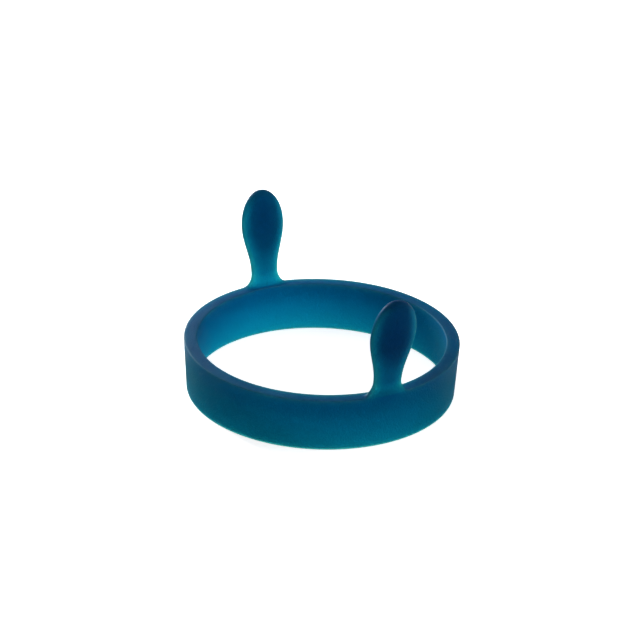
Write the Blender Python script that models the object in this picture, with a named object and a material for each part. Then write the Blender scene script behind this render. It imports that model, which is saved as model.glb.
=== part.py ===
"""Silicone egg ring: a round band with two upright handles that bend at their necks.

Metres, +Z up. The origin is the centre of the band's flat base. The handles stand on the Y axis,
rear_handle at +Y and front_handle at -Y, and each bends about a line along X across its neck.
"""

import math

import bmesh
import bpy

# Band: a wall that tapers from its rim to its base on both faces
BAND_HEIGHT = 0.01965
OPENING_RADIUS = 0.04515
RIM_THICKNESS = 0.00485
BASE_THICKNESS = 0.00275
OUTER_FACE_TAPER = 0.00095
BAND_EDGE_ROUND = 0.0004

# Handle: heights are measured from the rim, widths along the rim
HANDLE_HEIGHT = 0.0371
HANDLE_LEAN = math.radians(7.3)
NECK_HEIGHT = 0.0055
NECK_WIDTH = 0.0108
NECK_THICKNESS = 0.0033
GRIP_WIDEST_HEIGHT = 0.0241
GRIP_WIDTH = 0.01725
GRIP_THICKNESS = 0.0044
ROOT_SIDE_ROUND = 0.0050
ROOT_INNER_ROUND = 0.0010

# The stretch of each neck that bends, and the gap left to the pieces above and below it
BENDING_LENGTH = 0.0048
PIECE_GAP = 0.0003

# How finely round shapes are divided
BAND_STEPS = 96
EDGE_STEPS = 3
SECTION_POINTS = 36
ROOT_RINGS = 6
NECK_RINGS = 5
GRIP_RINGS = 9
TIP_RINGS = 10
MERGE_DISTANCE = 0.00001
SMOOTH_ANGLE = math.radians(40)

# A section is an ellipse drawn out towards its corners: 1 leaves it an ellipse, 0 makes a rectangle
SECTION_CORNER_SHARE = 0.85

SILICONE_COLOUR = (0.008, 0.085, 0.165, 1.0)
SILICONE_ROUGHNESS = 0.42

RIM_OUTER_RADIUS = OPENING_RADIUS + RIM_THICKNESS
BASE_OUTER_RADIUS = RIM_OUTER_RADIUS - OUTER_FACE_TAPER

# The handle's outer face is flush with the band's at the rim
HANDLE_RADIUS = RIM_OUTER_RADIUS - NECK_THICKNESS / 2
NECK_BOTTOM = NECK_HEIGHT - BENDING_LENGTH / 2
NECK_TOP = NECK_HEIGHT + BENDING_LENGTH / 2


def clear_scene():
    for obj in list(bpy.data.objects):
        bpy.data.objects.remove(obj)


def silicone_material(name):
    material = bpy.data.materials.new(name)
    material.use_nodes = True
    shader = material.node_tree.nodes["Principled BSDF"]
    shader.inputs["Base Color"].default_value = SILICONE_COLOUR
    shader.inputs["Roughness"].default_value = SILICONE_ROUGHNESS
    shader.inputs["Metallic"].default_value = 0
    return material


def add_object(name, mesh, parent=None, location=(0, 0, 0)):
    obj = bpy.data.objects.new(name, mesh)
    obj.parent = parent
    obj.location = location
    bpy.context.scene.collection.objects.link(obj)
    return obj


def steps(first, last, count):
    """Evenly spaced values from first to last, both included."""
    return [first + (last - first) * i / (count - 1) for i in range(count)]


def neighbours(ring):
    """Each point of a closed ring with the one after it."""
    return list(zip(ring, ring[1:] + ring[:1]))


# Band


def rounded_corner(corner, before, after):
    """Points of the quarter arc that rounds a corner of an outline between two others."""
    starts = []
    for other in (before, after):
        share = BAND_EDGE_ROUND / math.dist(corner, other)
        starts.append([(o - c) * share for c, o in zip(corner, other)])
    points = []
    for turn in steps(0, math.pi / 2, EDGE_STEPS + 1):
        to_before, to_after = 1 - math.sin(turn), 1 - math.cos(turn)
        points.append([c + a * to_before + b * to_after for c, a, b in zip(corner, *starts)])
    return points


def band_outline():
    """The wall's section as (radius, height), from the rim's outer edge down and round."""
    corners = [
        (RIM_OUTER_RADIUS, BAND_HEIGHT),
        (BASE_OUTER_RADIUS, 0),
        (BASE_OUTER_RADIUS - BASE_THICKNESS, 0),
        (OPENING_RADIUS, BAND_HEIGHT),
    ]
    points = []
    for before, corner, after in zip(corners[-1:] + corners[:-1], corners, corners[1:] + corners[:1]):
        points += rounded_corner(corner, before, after)
    return points


def make_band(material):
    """The band, turned from its outline about the vertical axis."""
    points = [(radius, 0, height) for radius, height in band_outline()]
    mesh = bpy.data.meshes.new("ring_band")
    mesh.from_pydata(points, neighbours(list(range(len(points)))), [])
    mesh.materials.append(material)
    band = add_object("ring_band", mesh)
    turn = band.modifiers.new("Turn", "SCREW")
    turn.steps = turn.render_steps = BAND_STEPS
    turn.use_merge_vertices = True
    turn.merge_threshold = MERGE_DISTANCE
    turn.use_smooth_shade = True


# Handles


def flare(height, radius):
    """How far a round of this radius, at the foot of the handle, has spread at a height."""
    if height >= radius:
        return 0
    return radius - math.sqrt(radius**2 - (radius - height) ** 2)


def swell(height):
    """How far the handle has swollen, from 0 at its neck to 1 at its widest place."""
    rise = (height - NECK_HEIGHT) / (GRIP_WIDEST_HEIGHT - NECK_HEIGHT)
    return (1 - math.cos(math.pi * min(max(rise, 0), 1))) / 2


def half_width(height):
    """Half the handle's width: a flared root, a narrow neck, and a grip with an elliptical end."""
    width = NECK_WIDTH + (GRIP_WIDTH - NECK_WIDTH) * swell(height)
    beyond = max(height - GRIP_WIDEST_HEIGHT, 0) / (HANDLE_HEIGHT - GRIP_WIDEST_HEIGHT)
    return width / 2 * math.sqrt(1 - beyond**2) + flare(height, ROOT_SIDE_ROUND)


def half_thickness(height):
    """Half the handle's thickness, which rounds off within its own length of the tip."""
    full = (NECK_THICKNESS + (GRIP_THICKNESS - NECK_THICKNESS) * swell(height)) / 2
    left = min((HANDLE_HEIGHT - height) / full, 1)
    return full * math.sqrt(1 - (1 - left) ** 2)


def rim_bow(x, height):
    """How far the handle is drawn in at x to follow the round rim, which fades out up to the neck."""
    fade = max(1 - height / NECK_HEIGHT, 0)
    return fade * (HANDLE_RADIUS - math.sqrt(HANDLE_RADIUS**2 - x**2))


def lean(height):
    """How far the handle's middle has leaned outwards at a height."""
    return height * math.tan(HANDLE_LEAN)


def section(height):
    """Points round the handle at a height, as (x, y, z) from the middle of its foot on the rim."""
    points = []
    for i in range(SECTION_POINTS):
        turn = math.tau * i / SECTION_POINTS
        along, across = math.cos(turn), math.sin(turn)
        thickness = half_thickness(height) + (flare(height, ROOT_INNER_ROUND) if across < 0 else 0)
        x = half_width(height) * math.copysign(abs(along) ** SECTION_CORNER_SHARE, along)
        y = thickness * math.copysign(abs(across) ** SECTION_CORNER_SHARE, across)
        points.append((x, y + lean(height) - rim_bow(x, height), height))
    return points


def grip_heights():
    """Heights of the grip's sections: even up to its widest place, then closer towards the tip."""
    reach = HANDLE_HEIGHT - GRIP_WIDEST_HEIGHT
    turns = steps(0, math.pi / 2, TIP_RINGS + 2)
    upper = [GRIP_WIDEST_HEIGHT + reach * math.sin(turn) for turn in turns[1:-1]]
    return steps(NECK_TOP + PIECE_GAP, GRIP_WIDEST_HEIGHT, GRIP_RINGS) + upper


def handle_mesh(name, heights, origin, material, has_tip=False):
    """A closed mesh through the handle's sections at these heights, measured from an origin."""
    bm = bmesh.new()
    rings = []
    for height in heights:
        places = [[p - o for p, o in zip(point, origin)] for point in section(height)]
        rings.append([bm.verts.new(place) for place in places])
    loops = [[bm.edges.new(pair) for pair in neighbours(ring)] for ring in rings]
    for lower, upper in zip(loops, loops[1:]):
        bmesh.ops.bridge_loops(bm, edges=lower + upper)
    bm.faces.new(rings[0])
    if has_tip:
        tip = (0, lean(HANDLE_HEIGHT), HANDLE_HEIGHT)
        end = bm.verts.new([p - o for p, o in zip(tip, origin)])
        for first, second in neighbours(rings[-1]):
            bm.faces.new((first, second, end))
    else:
        bm.faces.new(rings[-1])
    bmesh.ops.recalc_face_normals(bm, faces=bm.faces)
    mesh = bpy.data.meshes.new(name)
    bm.to_mesh(mesh)
    bm.free()
    mesh.materials.append(material)
    mesh.shade_smooth()
    mesh.set_sharp_from_angle(angle=SMOOTH_ANGLE)
    return mesh


def make_handles(material):
    """Root, neck and grip of each handle, the neck and the grip with their origins on the bending line."""
    foot, bend = (0, 0, 0), (0, lean(NECK_HEIGHT), NECK_HEIGHT)
    root_heights = steps(PIECE_GAP, NECK_BOTTOM - PIECE_GAP, ROOT_RINGS)
    root = handle_mesh("handle_root", root_heights, foot, material)
    neck = handle_mesh("handle_neck", steps(NECK_BOTTOM, NECK_TOP, NECK_RINGS), bend, material)
    grip = handle_mesh("handle_grip", grip_heights(), bend, material, has_tip=True)
    for side, facing in (("rear", 0), ("front", math.pi)):
        seat = add_object(f"{side}_handle_seat", None)
        seat.location = (0, HANDLE_RADIUS * math.cos(facing), BAND_HEIGHT)
        seat.rotation_euler.z = facing
        bending_line = add_object(f"{side}_handle_bending_line", None, seat, bend)
        add_object(f"{side}_handle_root", root, seat)
        add_object(f"{side}_handle_neck", neck, bending_line)
        add_object(f"{side}_handle_grip", grip, bending_line)


def main():
    clear_scene()
    silicone = silicone_material("silicone")
    make_band(silicone)
    make_handles(silicone)


main()
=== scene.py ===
"""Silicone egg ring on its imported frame: one smooth moulding over the band and both handles.

Metres, in the row's frame. The band is a grid turned from its outline, and each handle grows out of
a patch of that grid on the rim. The moulding is then parted above each root, where a handle starts
to bend, into the band and two handles.
"""

import math

import bmesh
import bpy
from mathutils import Matrix, Vector
from mathutils.bvhtree import BVHTree


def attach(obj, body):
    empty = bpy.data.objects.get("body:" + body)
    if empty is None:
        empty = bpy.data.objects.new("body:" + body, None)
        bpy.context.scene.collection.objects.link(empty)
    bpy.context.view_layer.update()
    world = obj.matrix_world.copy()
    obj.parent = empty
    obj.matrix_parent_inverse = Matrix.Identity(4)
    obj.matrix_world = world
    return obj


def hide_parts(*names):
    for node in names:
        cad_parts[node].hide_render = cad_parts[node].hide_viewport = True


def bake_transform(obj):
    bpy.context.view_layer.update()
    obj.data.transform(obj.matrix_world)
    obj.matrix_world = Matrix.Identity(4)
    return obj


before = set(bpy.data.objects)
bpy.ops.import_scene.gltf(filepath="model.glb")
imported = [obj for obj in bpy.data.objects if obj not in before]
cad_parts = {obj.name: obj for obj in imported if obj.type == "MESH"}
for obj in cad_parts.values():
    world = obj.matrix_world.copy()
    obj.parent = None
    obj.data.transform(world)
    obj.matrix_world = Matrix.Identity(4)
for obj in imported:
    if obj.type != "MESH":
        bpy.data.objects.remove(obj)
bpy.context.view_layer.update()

# Band, as in the solids
BAND_HEIGHT = 0.01965
OPENING_RADIUS = 0.04515
RIM_THICKNESS = 0.00485
BASE_THICKNESS = 0.00275
OUTER_FACE_TAPER = 0.00095
BAND_EDGE_ROUND = 0.0004
RIM_OUTER_RADIUS = OPENING_RADIUS + RIM_THICKNESS
BASE_OUTER_RADIUS = RIM_OUTER_RADIUS - OUTER_FACE_TAPER

# Handle, as in the solids: heights are measured from the rim
HANDLE_HEIGHT = 0.0371
HANDLE_LEAN = math.radians(7.3)
NECK_HEIGHT = 0.0055
NECK_WIDTH = 0.0108
NECK_THICKNESS = 0.0033
GRIP_WIDEST_HEIGHT = 0.0241
GRIP_WIDTH = 0.01725
GRIP_THICKNESS = 0.0044
ROOT_SIDE_ROUND = 0.0050
HANDLE_RADIUS = RIM_OUTER_RADIUS - NECK_THICKNESS / 2
SECTION_POWER = 2 / 0.85
MERGE_DISTANCE = 0.00001

# The band's grid, and the patch of it under each handle
COLUMNS = 240
PATCH_COLUMNS = 10
PATCH_DEPTH = 0.0040
PATCH_RINGS = 3
EDGE_STEPS = 5
PATCH_WALL_ROWS = 4
RIM_ROWS = 5
INNER_WALL_ROWS = 20
BASE_ROWS = 3
OUTER_WALL_ROWS = 16

# The handle's foot on the band: half its width, and how far it spreads in over the rim and down the
# wall. Between the straight stations, the patch's rows meet the foot at their own station.
FOOT_HALF_WIDTH = 0.0094
FOOT_MIDDLE = NECK_THICKNESS / 2
FOOT_IN = 0.0024
FOOT_DOWN = 0.00465
FOOT_POWER = 2.6
FOOT_CORNER = 0.75
FOOT_STRAIGHT = (-0.0005, 0.0010)
FILLET_SHARE = 0.36
TANGENT_SHARE = 0.01
TANGENT_RISE = 0.0001
ROOT_RINGS = 8

# Where the moulding is parted, the plug under each parting, and the rings up the handle
PARTING_HEIGHT = 0.0029
PLUG_DEPTH = 0.00005
PLUG_INSET = 0.01
GRIP_RINGS = 26
TIP_RINGS = 16

# The thicknesses that count as thin and as thick, in the band and in a handle. They steer the
# haze's colour and share. The handles' own range was fitted to the photograph: they are darker,
# which is painted shade over both handles.
BAND_RANGE = (0.0026, 0.0058)
HANDLE_SHADE_RANGE = (0.0002, 0.0039)
PROBE_DEPTH = 0.0011
# A share of the depth straight below the surface counts as thickness: painted shade on the rim's
# top.
DEPTH_SHARE = 0.035

# Silicone: what it takes from light on the way through, how much of it is clear from thick to thin
# places, and the tint of its haze over the same range: dark where thick and lighter where thin,
# partly the silicone's own depth of colour and partly painted light shining through
ABSORPTION_COLOUR = (0.0, 0.70, 0.855, 1)
ABSORPTION_DENSITY = 2000
CLEAR_COLOUR = (0.8, 1, 0.76, 1)
CLEAR_ROUGHNESS = 0.18
CLEAR_INDEX = 1.41
CLEAR_SHARES = (0.40, 0.74)
CLEAREST_THINNESS = 0.6
GLOW_SHARE = 0.50
HAZE_INDEX = 1.2
HAZE_SPECULAR = 0.25
HAZE_SPECULAR_TINT = (0.15, 0.35, 0.5, 1)
TINTS_AND_THIN_GLOW = [
    (0.0, (0.0003, 0.024, 0.12, 1)),
    (0.25, (0.0002, 0.12, 0.31, 1)),
    (0.55, (0.0002, 0.25, 0.33, 1)),
    (1.0, (0.0002, 0.29, 0.34, 1)),
]

# The moulded surface: fine grain, satin and glossier places, and slight cloudiness
GRAIN_SCALE = 1500
GRAIN_DEPTH = 0.00008
SATIN_SCALE = 120
SATIN_ROUGHNESS = (0.40, 0.52)
CLOUD_SCALE = 70
CLOUD_SHARE = 0.06
NOISE_RANGE = (0.3, 0.7)

# Camera, fitted to the photograph: its last turns are about its own axes, in degrees
BAND_MIDDLE = Vector((0, 0, BAND_HEIGHT / 2))
CAMERA_AZIMUTH = math.radians(-27.7)
CAMERA_ELEVATION = math.radians(26.964)
CAMERA_DISTANCE = 0.711575
CAMERA_LENS = 109.75
CAMERA_SENSOR = 36
CAMERA_TURNS = (("Y", 0.074), ("X", 1.171), ("Z", 1.901))

# Floor and light. A lamp: name, azimuth and elevation in degrees, distance, size, power in watts
FLOOR_SIZE = 6
PAPER = (0.85, 0.85, 0.85, 1)
FLOOR_GLOW = 0.84
AMBIENT = 0.1
LAMP_TARGET = Vector((0, 0, 0.02))
LAMPS = [
    ("back", 180, 6, 0.3, 0.05, 0.65),
    ("top", 180, 75, 0.8, 0.3, 1),
    ("left_back", -165, 16, 0.8, 0.2, 9.5),
    ("right", 60, 25, 0.8, 0.3, 2),
]


# Band


CORNERS = [
    (RIM_OUTER_RADIUS, BAND_HEIGHT),
    (OPENING_RADIUS, BAND_HEIGHT),
    (BASE_OUTER_RADIUS - BASE_THICKNESS, 0),
    (BASE_OUTER_RADIUS, 0),
]
SIDES = [math.dist(a, b) for a, b in zip(CORNERS, CORNERS[1:] + CORNERS[:1])]
CORNER_STATIONS = [sum(SIDES[:i]) for i in range(4)]
PERIMETER = sum(SIDES)


def outline_point(station):
    """(radius, height) on the outline. A station is a distance round it from the outer rim edge."""
    along = station % PERIMETER
    side = max(i for i, first in enumerate(CORNER_STATIONS) if along >= first)
    along -= CORNER_STATIONS[side]
    if along > SIDES[side] / 2:
        side, along = side + 1, along - SIDES[side]
    before, corner, after = (CORNERS[(side + i) % 4] for i in (-1, 0, 1))
    back, on = max(-along, 0), max(along, 0)
    if abs(along) < BAND_EDGE_ROUND:
        turn = (along / BAND_EDGE_ROUND + 1) * math.pi / 4
        back, on = BAND_EDGE_ROUND * (1 - math.sin(turn)), BAND_EDGE_ROUND * (1 - math.cos(turn))
    back /= math.dist(before, corner)
    on /= math.dist(after, corner)
    return tuple(c + (b - c) * back + (a - c) * on for b, c, a in zip(before, corner, after))


def on_band(turn, station):
    """A point of the band's surface. Turns are measured from +Y towards +X."""
    radius, height = outline_point(station)
    return Vector((radius * math.sin(turn), radius * math.cos(turn), height))


def steps(first, last, count):
    """Evenly spaced values after first, up to and with last."""
    return [first + (last - first) * (i + 1) / count for i in range(count)]


def band_stations():
    """Stations of the grid's rows, from the lower end of the patch up over the rim and round."""
    rim, inner, base, foot = CORNER_STATIONS
    edge = BAND_EDGE_ROUND
    rows = [-PATCH_DEPTH]
    rows += steps(-PATCH_DEPTH, -edge, PATCH_WALL_ROWS)
    rows += steps(-edge, edge, EDGE_STEPS)
    rows += steps(edge, inner - edge, RIM_ROWS)
    patch_rows = len(rows)
    rows += steps(inner - edge, inner + edge, EDGE_STEPS)
    rows += steps(inner + edge, base - edge, INNER_WALL_ROWS)
    rows += steps(base - edge, base + edge, EDGE_STEPS)
    rows += steps(base + edge, foot - edge, BASE_ROWS)
    rows += steps(foot - edge, foot + edge, EDGE_STEPS)
    rows += steps(foot + edge, PERIMETER - PATCH_DEPTH, OUTER_WALL_ROWS)[:-1]
    return rows, patch_rows


# Handles


def flare(height, radius):
    """How far a round of this radius, at the foot of the handle, has spread at a height."""
    if height >= radius:
        return 0
    return radius - math.sqrt(radius**2 - (radius - height) ** 2)


def swell(height):
    """How far the handle has swollen, from 0 at its neck to 1 at its widest place."""
    rise = (height - NECK_HEIGHT) / (GRIP_WIDEST_HEIGHT - NECK_HEIGHT)
    return (1 - math.cos(math.pi * min(max(rise, 0), 1))) / 2


def half_width(height):
    width = NECK_WIDTH + (GRIP_WIDTH - NECK_WIDTH) * swell(height)
    beyond = max(height - GRIP_WIDEST_HEIGHT, 0) / (HANDLE_HEIGHT - GRIP_WIDEST_HEIGHT)
    return width / 2 * math.sqrt(max(1 - beyond**2, 0)) + flare(height, ROOT_SIDE_ROUND)


def half_thickness(height):
    full = (NECK_THICKNESS + (GRIP_THICKNESS - NECK_THICKNESS) * swell(height)) / 2
    left = min((HANDLE_HEIGHT - height) / full, 1)
    return full * math.sqrt(max(1 - (1 - left) ** 2, 0))


def rim_bow(x, height):
    """How far the handle is drawn in at x to follow the rim, which fades out up to the neck."""
    fade = max(1 - height / NECK_HEIGHT, 0)
    return fade * (HANDLE_RADIUS - math.sqrt(HANDLE_RADIUS**2 - x**2))


def on_handle(across, inward, height):
    """A point of the rear handle's surface, in the direction (across, inward) of its section."""
    size = (abs(across) ** SECTION_POWER + abs(inward) ** SECTION_POWER) ** (1 / SECTION_POWER)
    x = half_width(height) * across / size
    face = half_thickness(height) * inward / size
    out = height * math.tan(HANDLE_LEAN) - face - rim_bow(x, height)
    return Vector((x, HANDLE_RADIUS + out, BAND_HEIGHT + height))


def foot_height(share, power=FOOT_POWER):
    return (1 - abs(share) ** power) ** (1 / power)


def foot_points(patch):
    """For each (turn, station) of the patch's edge, the one on the foot, and its direction."""
    last_turn = max(turn for turn, station in patch)
    low, high = min(s for t, s in patch), max(s for t, s in patch)
    corner_across = foot_height(FOOT_CORNER)
    low_corner = FOOT_MIDDLE - FOOT_DOWN * FOOT_CORNER
    high_corner = FOOT_MIDDLE + FOOT_IN * FOOT_CORNER
    straight_low, straight_high = FOOT_STRAIGHT
    found = []
    for turn, station in patch:
        if low < station < high:
            near = min(max(station, straight_low), straight_high)
            if station < near:
                near += (station - near) / (low - straight_low) * (low_corner - straight_low)
            else:
                near += (station - near) / (high - straight_high) * (high_corner - straight_high)
            reach = FOOT_IN if near > FOOT_MIDDLE else FOOT_DOWN
            inward = (near - FOOT_MIDDLE) / reach
            across = math.copysign(foot_height(inward), turn)
        else:
            across = turn / last_turn * corner_across
            inward = foot_height(across) * (1 if station > FOOT_MIDDLE else -1)
            near = FOOT_MIDDLE + inward * (FOOT_IN if inward > 0 else FOOT_DOWN)
        found.append((across * FOOT_HALF_WIDTH / RIM_OUTER_RADIUS, near, across, inward))
    return found


def bezier(a, b, c, d, t):
    s = 1 - t
    return a * s**3 + b * (3 * s * s * t) + c * (3 * s * t * t) + d * t**3


def root_rings(patch):
    """Rings of points from the patch's edge in to the handle's foot and up to the parting."""
    foot = foot_points(patch)
    rings = []
    for k in range(1, PATCH_RINGS + 1):
        share = k / PATCH_RINGS
        ring = []
        for (turn, station), (foot_turn, foot_station, _, _) in zip(patch, foot):
            between = turn + (foot_turn - turn) * share, station + (foot_station - station) * share
            ring.append(on_band(*between))
        rings.append(ring)
    curves = []
    for (turn, station), (foot_turn, foot_station, across, inward) in zip(patch, foot):
        start, end = on_band(foot_turn, foot_station), on_handle(across, inward, PARTING_HEIGHT)
        before = on_band(
            foot_turn - (foot_turn - turn) * TANGENT_SHARE,
            foot_station - (foot_station - station) * TANGENT_SHARE,
        )
        above = on_handle(across, inward, PARTING_HEIGHT + TANGENT_RISE)
        arm = FILLET_SHARE * (end - start).length
        leaving = start + (start - before).normalized() * arm
        arriving = end - (above - end).normalized() * arm
        curves.append((start, leaving, arriving, end))
    for share in steps(0, 1, ROOT_RINGS):
        rings.append([bezier(*curve, share) for curve in curves])
    return rings, [(across, inward) for _, _, across, inward in foot]


def grip_heights():
    reach = HANDLE_HEIGHT - GRIP_WIDEST_HEIGHT
    turns = steps(0, math.pi / 2, TIP_RINGS)[:-1]
    upper = [GRIP_WIDEST_HEIGHT + reach * math.sin(t) for t in turns]
    return steps(PARTING_HEIGHT, GRIP_WIDEST_HEIGHT, GRIP_RINGS) + upper


# Moulding


class Moulding:
    """The whole skin: its points, and its faces, each with the name of the piece it goes to."""

    def __init__(self):
        self.points, self.faces, self.owners = [], [], []
        self.partings = {}

    def add(self, point):
        self.points.append(point)
        return len(self.points) - 1

    def face(self, corners, owner):
        self.faces.append(corners)
        self.owners.append(owner)

    def join(self, ring, other, owner):
        for i in range(len(ring)):
            j = (i + 1) % len(ring)
            self.face((ring[i], ring[j], other[j], other[i]), owner)

    def add_band(self):
        rows, patch_rows = band_stations()
        middles = (0, COLUMNS // 2)
        grid = {}

        def from_middle(column):
            return min(abs((column - m + COLUMNS / 2) % COLUMNS - COLUMNS / 2) for m in middles)

        for column in range(COLUMNS):
            turn = math.tau * column / COLUMNS
            for row, station in enumerate(rows):
                if from_middle(column) >= PATCH_COLUMNS or not 0 < row < patch_rows - 1:
                    grid[column, row] = self.add(on_band(turn, station))
        for column in range(COLUMNS):
            for row in range(len(rows)):
                cell = [
                    (column, row),
                    ((column + 1) % COLUMNS, row),
                    ((column + 1) % COLUMNS, (row + 1) % len(rows)),
                    (column, (row + 1) % len(rows)),
                ]
                if from_middle(column + 0.5) > PATCH_COLUMNS or row >= patch_rows - 1:
                    self.face(tuple(grid[c] for c in cell), "silicone_band")
        return grid, rows, patch_rows

    def add_handle(self, name, first_column, grid, rows, patch_rows):
        n, top = PATCH_COLUMNS, patch_rows - 1
        edge = [(n, row) for row in range(top)]
        edge += [(column, top) for column in range(n, -n, -1)]
        edge += [(-n, row) for row in range(top, 0, -1)]
        edge += [(column, 0) for column in range(-n, n)]
        patch = [(math.tau * column / COLUMNS, rows[row]) for column, row in edge]
        facing = Matrix.Rotation(-math.tau * first_column / COLUMNS, 3, "Z")
        ring = [grid[(column + first_column) % COLUMNS, row] for column, row in edge]
        rings, directions = root_rings(patch)
        for points in rings:
            following = [self.add(facing @ p) for p in points]
            self.join(ring, following, "silicone_band")
            ring = following
        self.partings[name] = ring, self.add_plug(ring)
        for height in grip_heights():
            following = [self.add(facing @ on_handle(a, i, height)) for a, i in directions]
            self.join(ring, following, name)
            ring = following
        out = HANDLE_RADIUS + HANDLE_HEIGHT * math.tan(HANDLE_LEAN)
        tip = self.add(facing @ Vector((0, out, BAND_HEIGHT + HANDLE_HEIGHT)))
        for i in range(len(ring)):
            self.face((ring[i], ring[(i + 1) % len(ring)], tip), name)

    def add_plug(self, ring):
        """A ring just inside and below a parting, where a handle reaches into the band's piece."""
        middle = sum((self.points[v] for v in ring), Vector()) / len(ring)
        lower = Vector((0, 0, PLUG_DEPTH))
        return [self.add(self.points[v].lerp(middle, PLUG_INSET) - lower) for v in ring]


def share_between(value, low, high):
    return min(max((value - low) / (high - low), 0), 1)


def find_thinness_and_shade(points, normals, faces):
    """For each point, from 0 where the silicone is thick to 1 where it is thin.

    The thickness is measured level, through a place just inside and away from the ring's axis, with
    a small share of what lies straight below the surface, which darkens the rim's top as painted
    shade.
    In the handles a range of their own makes them read thicker, and so darker: painted shade.
    """
    tree = BVHTree.FromPolygons(points, faces)
    found = []
    for point, normal in zip(points, normals):
        inside = point - normal * PROBE_DEPTH
        outward = Vector((point.x, point.y, 0)).normalized()
        across = sum(tree.ray_cast(inside, way)[3] or 0 for way in (outward, -outward))
        deep = tree.ray_cast(point - normal * MERGE_DISTANCE, -normal)[3] or 0
        thickness = across + DEPTH_SHARE * max(deep - across, 0)
        raised = share_between(point.z, BAND_HEIGHT, BAND_HEIGHT + NECK_HEIGHT)
        thin, thick = (b + (h - b) * raised for b, h in zip(BAND_RANGE, HANDLE_SHADE_RANGE))
        found.append(1 - share_between(thickness, thin, thick))
    return found


def runs_left(ring, points):
    """Whether a level ring runs anticlockwise, seen from above."""
    corners = [points[v] for v in ring]
    return sum(a.x * b.y - b.x * a.y for a, b in zip(corners, corners[1:] + corners[:1])) > 0


def plug_sides(ring, plug, points):
    if not runs_left(ring, points):
        ring, plug = ring[::-1], plug[::-1]
    return [(plug[i - 1], plug[i], ring[i], ring[i - 1]) for i in range(len(ring))]


def cap_faces(ring, points, upwards):
    """Faces that close a level ring, in strips from its inner side to its outer side."""
    if runs_left(ring, points) != (upwards > 0):
        ring = ring[::-1]
    count = len(ring)
    middle = max(range(count), key=lambda i: points[ring[i]].x)
    faces = []
    for k in range(count // 2):
        strip = [ring[(middle + way) % count] for way in (k, k + 1, -k - 1, -k)]
        faces.append([v for i, v in enumerate(strip) if v not in strip[:i]])
    return faces


def build_pieces(material):
    """The band and the two handles as closed meshes, whose shading runs on across the partings."""
    moulding = Moulding()
    grid, rows, patch_rows = moulding.add_band()
    moulding.add_handle("rear_handle_skin", 0, grid, rows, patch_rows)
    moulding.add_handle("front_handle_skin", COLUMNS // 2, grid, rows, patch_rows)

    bm = bmesh.new()
    verts = [bm.verts.new(p) for p in moulding.points]
    for corners in moulding.faces:
        bm.faces.new([verts[c] for c in corners])
    bmesh.ops.recalc_face_normals(bm, faces=bm.faces)
    bm.verts.index_update()
    bm.normal_update()
    normals = [v.normal.copy() for v in bm.verts]
    faces = [[v.index for v in f.verts] for f in bm.faces]
    bm.free()
    thinness_and_shade = find_thinness_and_shade(moulding.points, normals, faces)

    pieces = {}
    for name in ("silicone_band", "rear_handle_skin", "front_handle_skin"):
        own = [f for f, owner in zip(faces, moulding.owners) if owner == name]
        first_cap = len(own)
        upwards = 1 if name == "silicone_band" else -1
        for other, (ring, plug) in moulding.partings.items():
            if name == "silicone_band":
                own += cap_faces(ring, moulding.points, upwards)
            elif name == other:
                own += plug_sides(ring, plug, moulding.points)
                own += cap_faces(plug, moulding.points, upwards)
        used = sorted({v for f in own for v in f})
        place = {v: i for i, v in enumerate(used)}
        mesh = bpy.data.meshes.new(name)
        own_points = [moulding.points[v] for v in used]
        mesh.from_pydata(own_points, [], [[place[v] for v in f] for f in own])
        mesh.shade_smooth()
        corner_normals = []
        for i, f in enumerate(own):
            corner_normals += [Vector((0, 0, upwards)) if i >= first_cap else normals[v] for v in f]
        mesh.normals_split_custom_set(corner_normals)
        parting = mesh.attributes.new("parting", "FLOAT", "FACE")
        parting.data.foreach_set("value", [float(i >= first_cap) for i in range(len(own))])
        thin = mesh.attributes.new("thinness_and_shade", "FLOAT", "POINT")
        thin.data.foreach_set("value", [thinness_and_shade[v] for v in used])
        rest = mesh.attributes.new("rest_place", "FLOAT_VECTOR", "POINT")
        rest.data.foreach_set("vector", [c for v in used for c in moulding.points[v]])
        mesh.materials.append(material)
        obj = bpy.data.objects.new(name, mesh)
        bpy.context.scene.collection.objects.link(obj)
        pieces[name] = obj
    return pieces


# Material


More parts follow.
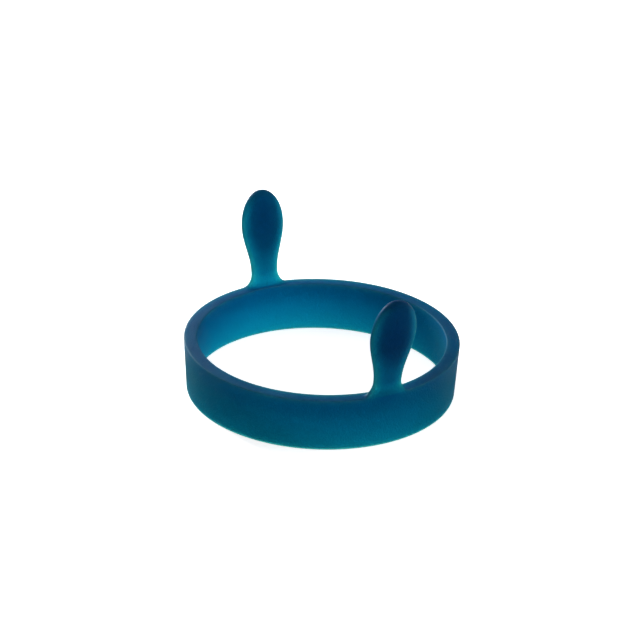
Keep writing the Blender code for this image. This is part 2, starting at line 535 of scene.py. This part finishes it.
def silicone_material():
    """Tinted silicone: light on its way through loses its red, and haze scatters what is left."""
    material = bpy.data.materials.new("silicone")
    material.use_nodes = True
    tree = material.node_tree
    out = tree.nodes["Material Output"]

    def add(kind, **values):
        node = tree.nodes.new("ShaderNode" + kind)
        for name, value in values.items():
            node.inputs[name.replace("_", " ")].default_value = value
        return node

    def attribute(name, output):
        node = add("Attribute")
        node.attribute_name = name
        return node.outputs[output]

    def noise(scale, detail, low, high):
        """Noise in the moulding's rest shape, whose usual range is brought to low and high."""
        texture = add("TexNoise", Scale=scale, Detail=detail)
        tree.links.new(attribute("rest_place", "Vector"), texture.inputs["Vector"])
        usual_low, usual_high = NOISE_RANGE
        fit = add("MapRange", From_Min=usual_low, From_Max=usual_high, To_Min=low, To_Max=high)
        tree.links.new(texture.outputs["Fac"], fit.inputs["Value"])
        return fit.outputs[0]

    # The haze's colour follows thinness plus cloud noise: lighter where thin, partly the silicone's
    # own depth of colour and partly painted light shining through, with painted shade on the
    # handles and the rim's top.
    glow_shade_and_cloud = add("Math")
    tree.links.new(attribute("thinness_and_shade", "Fac"), glow_shade_and_cloud.inputs[0])
    tree.links.new(noise(CLOUD_SCALE, 3, -CLOUD_SHARE, CLOUD_SHARE), glow_shade_and_cloud.inputs[1])
    tint_and_glow = add("ValToRGB")
    tree.links.new(glow_shade_and_cloud.outputs[0], tint_and_glow.inputs["Fac"])
    ramp = tint_and_glow.color_ramp
    for element, (place, colour) in zip(ramp.elements, (TINTS_AND_THIN_GLOW[0], TINTS_AND_THIN_GLOW[-1])):
        element.position, element.color = place, colour
    for place, colour in TINTS_AND_THIN_GLOW[1:-1]:
        ramp.elements.new(place).color = colour

    haze = tree.nodes["Principled BSDF"]
    tree.links.new(noise(SATIN_SCALE, 2, *SATIN_ROUGHNESS), haze.inputs["Roughness"])
    haze.inputs["IOR"].default_value = HAZE_INDEX
    haze.inputs["Specular IOR Level"].default_value = HAZE_SPECULAR
    haze.inputs["Specular Tint"].default_value = HAZE_SPECULAR_TINT
    tree.links.new(tint_and_glow.outputs["Color"], haze.inputs["Base Color"])
    clear = add("BsdfRefraction", Color=CLEAR_COLOUR, Roughness=CLEAR_ROUGHNESS, IOR=CLEAR_INDEX)
    glow = add("BsdfTranslucent", Color=CLEAR_COLOUR)
    grain = add("Bump", Strength=1, Distance=GRAIN_DEPTH)
    tree.links.new(noise(GRAIN_SCALE, 2, 0, 1), grain.inputs["Height"])
    for shader in (haze, clear, glow):
        tree.links.new(grain.outputs[0], shader.inputs["Normal"])
    through = add("MixShader", Fac=GLOW_SHARE)
    tree.links.new(clear.outputs[0], through.inputs[1])
    tree.links.new(glow.outputs[0], through.inputs[2])
    # Thin places are clearer, by the same value, which also carries the painted shade.
    least, most = CLEAR_SHARES
    clearness = add("MapRange", From_Max=CLEAREST_THINNESS, To_Min=least, To_Max=most)
    tree.links.new(glow_shade_and_cloud.outputs[0], clearness.inputs["Value"])
    body = add("MixShader")
    tree.links.new(clearness.outputs[0], body.inputs["Fac"])
    tree.links.new(haze.outputs[0], body.inputs[1])
    tree.links.new(through.outputs[0], body.inputs[2])
    absorption = add("VolumeAbsorption", Color=ABSORPTION_COLOUR, Density=ABSORPTION_DENSITY)
    tree.links.new(absorption.outputs[0], out.inputs["Volume"])

    nothing = add("BsdfTransparent")
    surface = add("MixShader")
    tree.links.new(attribute("parting", "Fac"), surface.inputs["Fac"])
    tree.links.new(body.outputs[0], surface.inputs[1])
    tree.links.new(nothing.outputs[0], surface.inputs[2])
    tree.links.new(surface.outputs[0], out.inputs["Surface"])
    return material


# Studio


def direction(azimuth, elevation):
    """From the object towards a place round it: azimuth 0 is in front, at -Y, and 90 at +X."""
    level = math.cos(elevation)
    return Vector((math.sin(azimuth) * level, -math.cos(azimuth) * level, math.sin(elevation)))


def add_camera():
    data = bpy.data.cameras.new("camera")
    data.lens = CAMERA_LENS
    data.sensor_width = CAMERA_SENSOR
    camera = bpy.data.objects.new("camera", data)
    bpy.context.scene.collection.objects.link(camera)
    back = direction(CAMERA_AZIMUTH, CAMERA_ELEVATION)
    look = (-back).to_track_quat("-Z", "Y").to_matrix().to_4x4()
    turned = Matrix.Translation(BAND_MIDDLE + back * CAMERA_DISTANCE) @ look
    turn = Matrix.Identity(4)
    for axis, degrees in CAMERA_TURNS:
        turn = turn @ Matrix.Rotation(math.radians(degrees), 4, axis)
    camera.matrix_world = turned @ turn
    bpy.context.scene.camera = camera


def seen_rays(tree):
    """1 for camera, glossy and transmission rays, which see the white background, 0 for others."""
    path = tree.nodes.new("ShaderNodeLightPath")
    seen = path.outputs["Is Camera Ray"]
    for kind in ("Is Glossy Ray", "Is Transmission Ray"):
        either = tree.nodes.new("ShaderNodeMath")
        either.operation = "MAXIMUM"
        tree.links.new(seen, either.inputs[0])
        tree.links.new(path.outputs[kind], either.inputs[1])
        seen = either.outputs[0]
    return seen


def add_world():
    world = bpy.data.worlds.new("studio")
    world.use_nodes = True
    bpy.context.scene.world = world
    tree = world.node_tree
    background = tree.nodes["Background"]
    background.inputs["Color"].default_value = (1, 1, 1, 1)
    strength = tree.nodes.new("ShaderNodeMapRange")
    tree.links.new(seen_rays(tree), strength.inputs["Value"])
    strength.inputs["To Min"].default_value = AMBIENT
    strength.inputs["To Max"].default_value = 1
    tree.links.new(strength.outputs[0], background.inputs["Strength"])


def add_floor():
    bpy.ops.mesh.primitive_plane_add(size=FLOOR_SIZE)
    floor = bpy.context.object
    floor.name = "floor"
    material = bpy.data.materials.new("floor")
    material.use_nodes = True
    tree = material.node_tree
    tree.nodes.clear()
    out = tree.nodes.new("ShaderNodeOutputMaterial")
    add = tree.nodes.new("ShaderNodeAddShader")
    paper = tree.nodes.new("ShaderNodeBsdfDiffuse")
    paper.inputs["Color"].default_value = PAPER
    glow = tree.nodes.new("ShaderNodeEmission")
    strength = tree.nodes.new("ShaderNodeMath")
    strength.operation = "MULTIPLY"
    strength.inputs[1].default_value = FLOOR_GLOW
    tree.links.new(seen_rays(tree), strength.inputs[0])
    tree.links.new(strength.outputs[0], glow.inputs["Strength"])
    tree.links.new(paper.outputs[0], add.inputs[0])
    tree.links.new(glow.outputs[0], add.inputs[1])
    tree.links.new(add.outputs[0], out.inputs["Surface"])
    floor.data.materials.append(material)


def add_lamp(name, azimuth, elevation, distance, size, power):
    data = bpy.data.lights.new(name, "AREA")
    data.shape = "RECTANGLE"
    data.size = data.size_y = size
    data.energy = power
    lamp = bpy.data.objects.new(name, data)
    bpy.context.scene.collection.objects.link(lamp)
    back = direction(math.radians(azimuth), math.radians(elevation))
    lamp.location = LAMP_TARGET + back * distance
    lamp.rotation_mode = "QUATERNION"
    lamp.rotation_quaternion = back.to_track_quat("Z", "Y")


def main():
    bpy.context.scene.view_settings.view_transform = "Standard"
    add_camera()
    add_world()
    add_floor()
    for lamp in LAMPS:
        add_lamp(*lamp)

    pieces = build_pieces(silicone_material())
    band = pieces["silicone_band"]
    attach(band, "band")
    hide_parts("ring_band", "front_handle_root", "rear_handle_root")
    for side, out in (("front", -1), ("rear", 1)):
        skin = pieces[f"{side}_handle_skin"]
        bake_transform(skin)
        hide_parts(f"{side}_handle_neck", f"{side}_handle_grip")


main()
